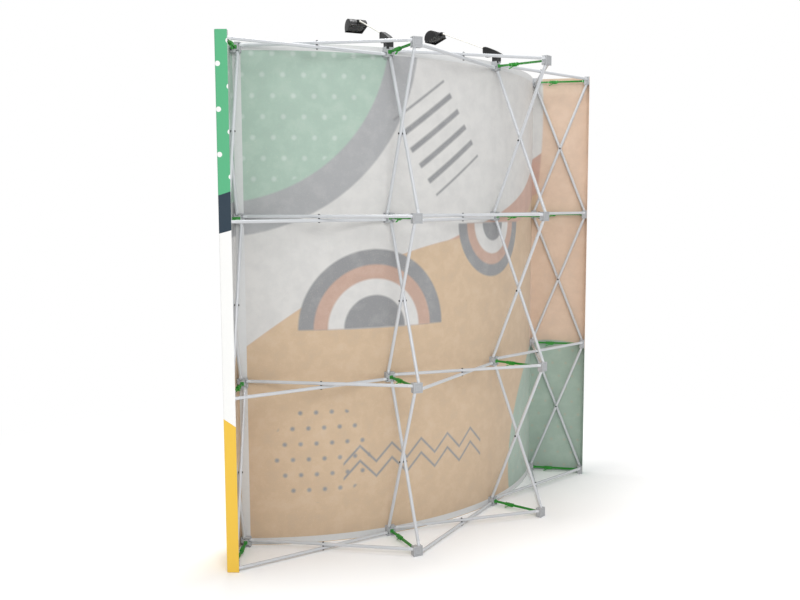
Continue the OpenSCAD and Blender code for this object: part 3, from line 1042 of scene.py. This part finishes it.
def wrapPoint(distance, lift):
    # walks the route: lift is outwards from its inner side
    x, y, heading = 0.0, -hub["depth"] / 2 - cloth["gap"], 0.0
    for kind, length, parts in wrapPath:
        step = max(0.0, min(distance, length))
        bend = step / cloth["corner"] if kind == "bend" else 0.0
        if bend:
            x += cloth["corner"] * (math.sin(heading + bend) - math.sin(heading))
            y += cloth["corner"] * (math.cos(heading) - math.cos(heading + bend))
        else:
            x += step * math.cos(heading)
            y += step * math.sin(heading)
        heading += bend
        distance -= step
    return x + lift * math.sin(heading), y - lift * math.cos(heading)


def onWrap(column, distance, lift):
    x, y = wrapPoint(distance, lift)
    side = 1 if column == 1 else -1
    place = atColumn(column, frontRadius) @ Vector((side * x, y, 0))
    return place.x, place.y


def ramp(value, start, length):
    return min(1.0, max(0.0, (value - start) / length))


def ripple(u, v):
    # slight slackness towards the print, gone at the upper and lower tapes, at the middle bay's
    # columns and halfway across the outer bays
    if abs(u) > bayLength / 2:
        across = abs((u / bayLength + 0.5) % 1.0 - 0.5) * bayLength
    else:
        across = bayLength / 2 - abs(u)
    calm = ramp(across, 0.03, 0.12) * ramp(min(v - cloth["low"], clothHigh - v), 0.035, 0.15)
    soft = calm * calm * (3 - 2 * calm)
    wave = 0.5 + 0.22 * math.sin(9.1 * u + 2.3 * v) + 0.16 * math.sin(3.7 * v - 14.3 * u + 1.2)
    return cloth["ripple"] * soft * (wave + 0.12 * math.sin(21 * u + 6.1 * math.sin(2.1 * v)))


def linesBetween(start, end, count):
    return [start + (end - start) * number / count for number in range(count + 1)]


def layCloth(name, across, upright, place, uOf, outside, coats=("print", "back")):
    # a grid hung by its lines: place gives a point, and uOf its length along the print; the
    # first coat is on the print's side, the second on the inner side and the edges
    clearSelection()
    columns, rows = len(across) - 1, len(upright) - 1
    bpy.ops.mesh.primitive_grid_add(x_subdivisions=columns, y_subdivisions=rows, size=1,
                                    calc_uvs=True)
    piece = bpy.context.object
    piece.name = name
    piece.data.name = name
    flat = []
    for vertex in piece.data.vertices:
        s = across[round((vertex.co.x + 0.5) * columns)]
        v = upright[round((vertex.co.y + 0.5) * rows)]
        flat.append((uOf(s), v))
        vertex.co = (*place(s, v), v)
    layer = piece.data.uv_layers[0]
    layer.name = "cloth"
    for loop in piece.data.loops:
        layer.data[loop.index].uv = flat[loop.vertex_index]
    piece.data.update()
    middle = piece.data.polygons[len(piece.data.polygons) // 2]
    if middle.normal.dot(outside(middle.center)) < 0:
        edit(piece, lambda face: True, lambda: bpy.ops.mesh.flip_normals())
    dressed(piece, *coats)
    thickness = cloth["tapeThick"] if "tape" in coats else cloth["thick"]
    finishModifier(piece, "SOLIDIFY", thickness=thickness, offset=-1, use_rim=True,
                   material_offset=1, material_offset_rim=1)
    return smooth(piece, 50)


# The print's inks, each as it looks on its own side and through the cloth
inks = {
    "paper": ((248, 248, 246), (214, 213, 211)),
    "gold": ((243, 199, 73), (206, 181, 152)),
    "coral": ((226, 116, 96), (200, 166, 151)),
    "mint": ((92, 182, 133), (171, 193, 180)),
    "teal": ((62, 139, 111), (166, 185, 172)),
    "navy": ((43, 60, 74), (170, 171, 173)),
    "orange": ((240, 158, 88), (221, 195, 173)),
    "copper": ((196, 118, 86), (193, 163, 148)),
    "coal": ((52, 50, 54), (146, 147, 149)),
    "dot": ((248, 248, 246), (193, 207, 199)),
    "spot": ((243, 199, 73), (181, 181, 163)),
}


# The design, in metres along the print from its middle and up from the floor
design = {
    "wave": {"up": 1.30, "fall": 0.42, "swell": 0.14, "pace": 2.3, "from": 0.6},
    "wedge": 0.20,
    "side": {"at": 1.02, "swell": 0.07, "pace": 2.1, "from": 0.4},
    "lowRound": (-1.15, 0.15, 0.62),  # middle and radius
    "highRound": (1.12, 2.36, 0.80),
    "highRim": 0.15,
    "dots": (0.09, 0.0105),  # pitch and radius
    "spots": (0.075, 0.006),
    "coalDots": (0.072, 0.0095),
    "coalRound": (0.66, 0.42, 0.23),
    "nested": (  # middle, which half, and the radii from outside
        (0.40, 0.99, 1, (0.36, 0.29, 0.225, 0.15)),
        (-0.34, 1.46, -1, (0.27, 0.21, 0.155, 0.09)),
    ),
    "bars": {"middle": (0.05, 1.86), "lean": (0.57, 0.82), "pitch": 0.085, "half": 0.013,
             "field": (0.21, 0.17)},
    "zigzag": {"up": 0.36, "pitch": 0.16, "half": 0.007, "apart": 0.07,
               "middle": 0.16, "reach": 0.40},
}


def printColour(finish, inkOf, edge):
    flat = finish.node("UVMap", {"uv_map": "cloth"})
    parts = finish.node("SeparateXYZ", {}, {0: flat})
    u, v = parts["X"], parts["Y"]

    def disc(x, y, radius):
        return ((u - x) * (u - x) + (v - y) * (v - y)) ** 0.5 - radius

    def lattice(pitch, radius):
        # rows of dots, every other row half a pitch on
        row = (v / pitch).floor()
        across = (u / pitch + row * 0.5).part() - 0.5
        up = (v / pitch).part() - 0.5
        return (across * across + up * up) ** 0.5 * pitch - radius

    def strip(middle, half):
        return (abs(middle) - half).inside(edge)

    # a waving field with a wedge along its upper edge, and a field at the far side
    wave, side = design["wave"], design["side"]
    field = v - wave["up"] + u * wave["fall"] - (
        u * wave["pace"] + wave["from"]).sine() * wave["swell"]
    wedge = (field - (-u).most(0.0) * design["wedge"]).inside(edge)
    colour = finish.paint(inkOf("paper"), inkOf("coral"), wedge)
    colour = finish.paint(colour, inkOf("gold"), field.inside(edge))
    far = u + side["at"] - (v * side["pace"] + side["from"]).sine() * side["swell"]
    colour = finish.paint(colour, inkOf("orange"), far.inside(edge))

    # two large rounds with small dots, and dots alone
    lower, upper = disc(*design["lowRound"]), disc(*design["highRound"])
    colour = finish.paint(colour, inkOf("teal"), lower.inside(edge))
    colour = finish.paint(colour, inkOf("navy"), (upper - design["highRim"]).inside(edge))
    colour = finish.paint(colour, inkOf("mint"), upper.inside(edge))
    for name, dots, area in (("dot", "dots", upper + 0.02), ("spot", "spots", lower + 0.03),
                             ("coal", "coalDots", disc(*design["coalRound"]))):
        mask = lattice(*design[dots]).inside(edge) * area.inside(edge)
        colour = finish.paint(colour, inkOf(name), mask)

    # half rounds, one inside the other
    for x, y, tilt, radii in design["nested"]:
        half = ((v - y) * -tilt).inside(edge)
        for radius, name in zip(radii, ("coal", "copper", "paper", "coal")):
            colour = finish.paint(colour, inkOf(name), disc(x, y, radius).inside(edge) * half)

    # slanted bars in a field, and a double zigzag
    bars, zigzag = design["bars"], design["zigzag"]
    (x, y), (run, rise) = bars["middle"], bars["lean"]
    lean, along = (u - x) * run + (v - y) * rise, (v - y) * run - (u - x) * rise
    strokes = strip(((lean / bars["pitch"]).part() - 0.5) * bars["pitch"], bars["half"])
    within = strip(lean, bars["field"][0]) * strip(along, bars["field"][1])
    colour = finish.paint(colour, inkOf("coal"), strokes * within)
    pitch = zigzag["pitch"]
    line = v - zigzag["up"] - abs((u / pitch).part() - 0.5) * pitch
    double = strip(line, zigzag["half"]).most(strip(line + zigzag["apart"], zigzag["half"]))
    mask = double * strip(u - zigzag["middle"], zigzag["reach"])
    return finish.paint(colour, inkOf("coal"), mask), flat


def clothSurface(finish, colour, rough, bump, sheen, sheenRough, gloss):
    return finish.surface(colour, rough, bump, Sheen_Weight=sheen, Sheen_Roughness=sheenRough,
                          Specular_IOR_Level=gloss)


def knitHeight(finish, flat):
    # rows of tiny loops
    def wave(way, scale):
        where = {"Vector": flat, "Scale": scale, "Distortion": 0.6}
        return finish.node("TexWave", {"bands_direction": way}, where, out="Fac")

    return wave("X", 220) * 0.5 + wave("Y", 260) * 0.5


def printMaterial():
    # dye-printed knit: flat colour, a fine knit with painted shade in its hollows, and a slight
    # sheen
    finish = Finish("printFront")
    colour, flat = printColour(finish, lambda name: ink(*inks[name][0]), 0.0012)
    knit = knitHeight(finish, flat)
    cloud = finish.noise(flat, 5, 3)
    # the cloud varies the tone at random, and the knit's hollows are darkened a little as painted
    # shade
    toneAndKnitShade = finish.paint(colour, ink(150, 150, 148), cloud * 0.05 + (1 - knit) * 0.03)
    return clothSurface(finish, toneAndKnitShade, 0.78 + cloud * 0.08, finish.bump(knit, 0.00012, 0.6),
                        0.12, 0.5, 0.25)


def backMaterial():
    # the inner side: the print seen faintly through brushed felt, mottled at every scale
    finish = Finish("printBack")
    colour, flat = printColour(finish, lambda name: ink(*inks[name][1]), 0.010)
    cloud = finish.noise(flat, 13, 5, 0.62)
    fleck = finish.noise(flat, 190, 4, 0.7)
    fibre = finish.noise(finish.stretched(flat, 300, 700, 1), 1.0, 4, 0.6)
    darker = finish.paint(colour, ink(150, 152, 154), (cloud - 0.44).most(0.0) * 0.5)
    lighter = finish.paint(darker, ink(236, 234, 230), (0.52 - cloud).most(0.0) * 0.45)
    specks = finish.paint(lighter, ink(240, 224, 204), (fleck - 0.58).most(0.0) * 2.6)
    return clothSurface(finish, specks, 0.9, finish.bump(fibre + fleck, 0.0003, 0.5),
                        0.2, 0.6, 0.15)


def tapeMaterial():
    # white loop tape: matted loops with painted shade between them, clouded where they lie flat
    finish = Finish("loopTape")
    flat = finish.node("UVMap", {"uv_map": "cloth"})
    loops = finish.noise(flat, 420, 5, 0.75)
    cloud = finish.noise(flat, 46, 4, 0.6)
    # the tone follows the loops' height as painted shade: darker between the loops, lighter on
    # their tops
    tone = finish.paint(ink(194, 196, 197), ink(232, 232, 231), loops * 0.8 + cloud * 0.3)
    return clothSurface(finish, tone, 0.95, finish.bump(loops, 0.0007, 0.8), 0.3, 0.7, 0.1)


def glassMaterial():
    # glass tinted dark as painted shade for the head's mouth, a little dusty
    finish = Finish("lensGlass")
    dust = finish.noise(finish.own(), 160, 4, 0.6)
    # the dark tone is painted shade for the unlit inside of the head; the lighter specks are dust
    tone = finish.paint(ink(30, 31, 33), ink(88, 90, 92), (dust - 0.55).most(0.0))
    return finish.surface(tone, 0.16 + dust * 0.12, Alpha=0.45)


def troughMaterial():
    # sheet with small dimples, black as painted shade for the inside of the head's mouth
    finish = Finish("troughShadeBlack")
    dimple = finish.node("TexVoronoi", {}, {"Vector": finish.own(), "Scale": 260}, out="Distance")
    # the black stands for the shade inside the head, as painted shade; the dimples vary it
    tone = finish.paint(ink(30, 30, 32), ink(46, 46, 48), dimple)
    return finish.surface(tone, 0.34 + dimple * 0.2, finish.bump(dimple, 0.0004), Metallic=0.4)


def bulbMaterial():
    # frosted glass
    finish = Finish("bulbGlass")
    frost = finish.noise(finish.own(), 900, 2)
    return finish.surface(ink(150, 150, 148), 0.22 + frost * 0.1, Alpha=0.5)


def rodMaterial():
    # ivory coat with a slight orange peel
    finish = Finish("rodCoat")
    peel = finish.noise(finish.own(), 700, 3)
    tone = finish.paint(ink(226, 222, 212), ink(240, 237, 229), peel)
    return finish.surface(tone, 0.34 + peel * 0.12, finish.bump(peel, 0.00005), Coat_Weight=0.2)


print("scene: materials")
mouldings = {
    # body, rubbed edges and roughness
    "hubPlastic": ((164, 166, 169), (196, 198, 200), 0.50),
    "insertPlastic": ((206, 209, 213), (226, 228, 231), 0.42),
    "rivetBlack": ((16, 16, 18), (42, 42, 44), 0.40),
    "lockNylon": ((22, 124, 26), (50, 158, 52), 0.40),
    "tabNylon": ((20, 150, 30), (64, 186, 66), 0.40),
    "lampHousing": ((16, 16, 17), (44, 44, 46), 0.40),
    "bracketPlastic": ((20, 20, 21), (52, 52, 54), 0.46),
    "ceramic": ((220, 216, 206), (240, 238, 230), 0.60),
}
finishes = {name: mouldedPlastic(name, *look) for name, look in mouldings.items()}
finishes |= {
    "tube": tubeMaterial(),
    "pin": pinMaterial(),
    "rod": rodMaterial(),
    "lens": glassMaterial(),
    "trough": troughMaterial(),
    "bulb": bulbMaterial(),
    "print": printMaterial(),
    "back": backMaterial(),
    "tape": tapeMaterial(),
}


def dressed(piece, *names):
    # the piece in these finishes alone
    piece.data.materials.clear()
    for name in names:
        piece.data.materials.append(finishes[name])
    return piece


print("scene: masters")
masters = {
    "hub": dressed(modelHub(), "hubPlastic"),
    "tube": dressed(modelTube(), "tube"),
    "rivet": dressed(modelRivet(), "rivetBlack"),
    "socket": dressed(modelSocket(), "lockNylon"),
    "bar": dressed(modelBar(), "lockNylon"),
    "tab": dressed(modelTab(), "tabNylon"),
}
for name, mouth in (("tongue", None), ("tongueOpenOut", 0.0),
                    ("tongueOpenRising", math.pi - braceAngle),
                    ("tongueOpenFalling", math.pi + braceAngle)):
    masters[name] = dressed(modelTongue(mouth), "insertPlastic")

print("scene: hubs and lock arms")
for column in range(1, wall["columns"] + 1):
    front = [atFront(column, row) for row in rowsUp]
    back = [atBack(column, row) for row in rowsUp]
    for kind, name, places, node, slot in (
            ("hub", "front_hub_set", front, "front_hubs", "hub"),
            ("hub", "back_hub_set", back, "back_hubs", "hub"),
            ("socket", "lock_sleeve_set", front, "lock_sockets", "lock_arm"),
            ("bar", "lock_bar_set", front, "lock_bars", "lock_arm"),
            ("tab", "release_tab_set", front, "lock_tabs", "lock_tab")):
        piece = stamp(masters[kind], f"{name}_{column}", places)
        settle(piece, f"{node}_{column}")
    for side in ("front", "back"):
        dressed(frame["nodes"][f"{side}_pins_{column}"], "pin")

print("scene: tubes and rivets")
for bay in range(1, wall["columns"]):
    out = [outwardPlace(bay, row) for row in rowsUp]
    into = [inwardPlace(bay, row) for row in rowsUp]
    # the tongues that let go of their pins are at the wall's two ends
    tubeRun(f"outward_tubes_{bay}", out, far=("tongueOpenOut" if bay == 1 else "tongue",))
    tubeRun(f"inward_tubes_{bay}", into,
            far=("tongueOpenOut" if bay == wall["columns"] - 1 else "tongue",))
    crossings = [atFront(bay, row) @ moved(-wall["pin"], 0, 0)
                 @ turned(math.pi - hubAngle, "Z") @ moved(frontShare, 0, 0) for row in rowsUp]
    piece = stamp(masters["rivet"], f"bay_rivet_set_{bay}", crossings)
    settle(piece, f"bay_rivets_{bay}")
for column in range(1, wall["columns"] + 1):
    tubeRun(f"upright_braces_{column}", bracePlaces(column),
            near=("tongueOpenRising", "tongueOpenFalling"))
    crossings = [atFront(column, row) @ moved(0, wall["depth"] / 2, wall["rowPitch"] / 2)
                 @ turned(math.pi / 2, "Y") for row in range(1, wall["rows"])]
    piece = stamp(masters["rivet"], f"brace_rivet_set_{column}", crossings)
    settle(piece, f"brace_rivets_{column}")

print("scene: lamps")
lampParts = (
    # name, how it is modelled, finish, node, slot, and whether it stands for the node
    ("clamp", modelClamp, "bracketPlastic", "lamp_clamp", "lamp_body", True),
    ("wedge", modelBracket, "bracketPlastic", "lamp_bracket", "lamp_body", True),
    ("rod", modelArmRod, "rod", "lamp_arm", "lamp_rod", True),
    ("eyes", modelArmEyes, "lampHousing", "lamp_arm", "lamp_body", False),
    ("housing", modelHead, "lampHousing", "lamp_head", "lamp_body", True),
    ("trough", modelTrough, "trough", "lamp_head", "lamp_body", False),
    ("glass", modelLens, "lens", "lamp_lens", "lamp_lens", True),
    ("bulb", modelBulb, "bulb", "lamp_head", "lamp_lens", False),
    ("bulb_ends", modelBulbEnds, "ceramic", "lamp_head", "lamp_rod", False),
)
for name, model, coat, node, slot, stands in lampParts:
    masters[name] = dressed(model(), coat)
for number in (1, 2):
    for name, model, coat, node, slot, stands in lampParts:
        piece = stamp(masters[name], f"lamp_{name}_{number}", [lampPlace(number)])
        settle(piece, f"{node}_{number}", stands)
for master in masters.values():
    bpy.data.objects.remove(master)

print("scene: fabric")
uprightLines = [
    cloth["low"],
    *linesBetween(cloth["low"] + cloth["tape"], clothHigh - cloth["tape"], cloth["lines"]),
    clothHigh,
]
tapeBottom, tapeTop = cloth["low"] + cloth["tapeLow"], clothHigh - cloth["tapeHigh"]
tapeLines = {
    "low": linesBetween(tapeBottom, tapeBottom + cloth["tape"], 4),
    "high": linesBetween(tapeTop - cloth["tape"], tapeTop, 4),
    "side": linesBetween(tapeBottom + cloth["tape"], tapeTop - cloth["tape"], 90),
    "end": linesBetween(tapeBottom, tapeTop, 90),
}


def outsideFront(centre):
    return Vector((-centre.x, -arcCentre - centre.y, 0))


def bayTape(name, across, height):
    return layCloth(name, across, tapeLines[height], lambda u, v: onArc(u, -cloth["tapeGap"]),
                    lambda u: u, outsideFront, ("tape", "tape"))


def endCloth(column, name, across, heights, lift, *coats):
    side = 1 if column == 1 else -1
    inwards = atColumn(column, frontRadius) @ Vector((0, wall["depth"] / 2, 0))
    return layCloth(name, across, heights, lambda along, v: onWrap(column, along, lift),
                    lambda along: side * (frontHalf + along), lambda centre: centre - inwards,
                    *coats)


for bay in range(1, wall["columns"]):
    start = frontHalf - bay * bayLength
    across = linesBetween(start, start + bayLength, cloth["bayLines"])
    piece = layCloth(f"printed_fabric_{bay}", across, uprightLines,
                     lambda u, v: onArc(u, cloth["thick"] + ripple(u, v)), lambda u: u,
                     outsideFront)
    settle(piece, f"front_fabric_{bay}")
    tapes = [bayTape("edgeTape", across, "low"), bayTape("edgeTape", across, "high")]
    if bay == 1:
        sideLines = linesBetween(frontHalf - cloth["sideTape"], frontHalf, 6)
        tapes.append(bayTape("sideTape", sideLines, "side"))
    tape = gather(tapes, f"fabric_tape_{bay}")
    settle(tape, f"front_fabric_{bay}", stands=False)
    column = atColumn(3 if bay == 3 else 2, frontRadius)
    for part in (piece, tape):
        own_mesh(part)

wrapLines = [0.0]
for kind, length, parts in wrapPath:
    wrapLines += linesBetween(wrapLines[-1], wrapLines[-1] + length, parts)[1:]
for column in (1, wall["columns"]):
    piece = endCloth(column, f"fabric_end_{column}", wrapLines, uprightLines, cloth["thick"])
    settle(piece, f"end_fabric_{column}")
    tapes = []
    if column == 1:
        sideLines = linesBetween(0.0, cloth["sideTape"], 4)
        tapes = [endCloth(1, "fabric_end_tape_1", sideLines, tapeLines["end"],
                          -cloth["tapeGap"], ("tape", "tape"))]
        settle(tapes[0], "end_fabric_1", stands=False)
    place = atColumn(column, frontRadius)
    for part in (piece, *tapes):
        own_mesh(part)

print("scene: floor, light and camera")
stage = {
    "size": 60.0,
    "fadeFrom": 1.5,
    "fadeTo": 3.4,
    "ambient": 0.68,
    "floor": 0.93,
    "floorSeen": 1.02,  # the floor's colour to the camera alone, so that it shows white
}
lights = {
    # place, aim, size across and power
    "overhead": ((0.0, -0.6, 5.6), (0, 0.1, 0), 1.7, 158.0),
    "fill": ((2.4, 4.0, 3.6), (0, 0, 1.1), 2.5, 82.0),
}
view = {
    "place": (2.86973, 4.69371 - arcCentre, 1.55373),
    "heading": 180 - 38.5767,
    "down": 6.07354,
    "roll": -0.18004,
    "lens": 40.584,
    "sensor": 36,
}


def whiteWorld():
    sky = Finish("studio", world=True)
    bpy.context.scene.world = sky.owner
    strength = sky.seen() * (1 - stage["ambient"]) + stage["ambient"]
    background = sky.node("Background", {}, {"Color": (1, 1, 1, 1), "Strength": strength})
    sky.close(background)


def whiteFloor():
    # a white floor that keeps the soft shadow and fades into the white round it
    clearSelection()
    bpy.ops.mesh.primitive_plane_add(size=stage["size"], location=(0, 0, 0))
    floor = bpy.context.object
    floor.name = "floor"
    finish = Finish("floorWhite")
    where = finish.node("TexCoord", {}, {}, out="Object")
    parts = finish.node("SeparateXYZ", {}, {0: where})
    away = (parts["X"] * parts["X"] + parts["Y"] * parts["Y"]) ** 0.5
    fade = finish.node("MapRange", {"interpolation_type": "SMOOTHSTEP"}, {
        "Value": away, "From Min": stage["fadeFrom"], "From Max": stage["fadeTo"]})
    seen = finish.seen()
    plain, bright = ((stage[name],) * 3 + (1,) for name in ("floor", "floorSeen"))
    matte = finish.node("BsdfDiffuse", {}, {"Color": finish.paint(plain, bright, seen)})
    glow = finish.node("Emission", {}, {"Color": (1, 1, 1, 1), "Strength": 1.0})
    mixed = finish.node("MixShader", {}, {0: fade * seen, 1: matte, 2: glow})
    floor.data.materials.append(finish.close(mixed))


def link(name, data):
    made = bpy.data.objects.new(name, data)
    bpy.context.collection.objects.link(made)
    return made


whiteWorld()
whiteFloor()
for name, (place, aim, across, power) in lights.items():
    light = bpy.data.lights.new(name, "AREA")
    light.shape = "DISK"
    light.size = across
    light.energy = power
    stand = link(name, light)
    stand.location = place
    stand.rotation_euler = (Vector(aim) - Vector(place)).to_track_quat("-Z", "Y").to_euler()

camera = link("camera", bpy.data.cameras.new("camera"))
camera.data.sensor_width = view["sensor"]
camera.data.lens = view["lens"]
camera.matrix_world = (
    moved(*view["place"]) @ turned(radians(view["heading"]), "Z")
    @ turned(radians(90 - view["down"]), "X") @ turned(radians(view["roll"]), "Z"))
bpy.context.scene.camera = camera
bpy.context.scene.view_settings.view_transform = "Standard"
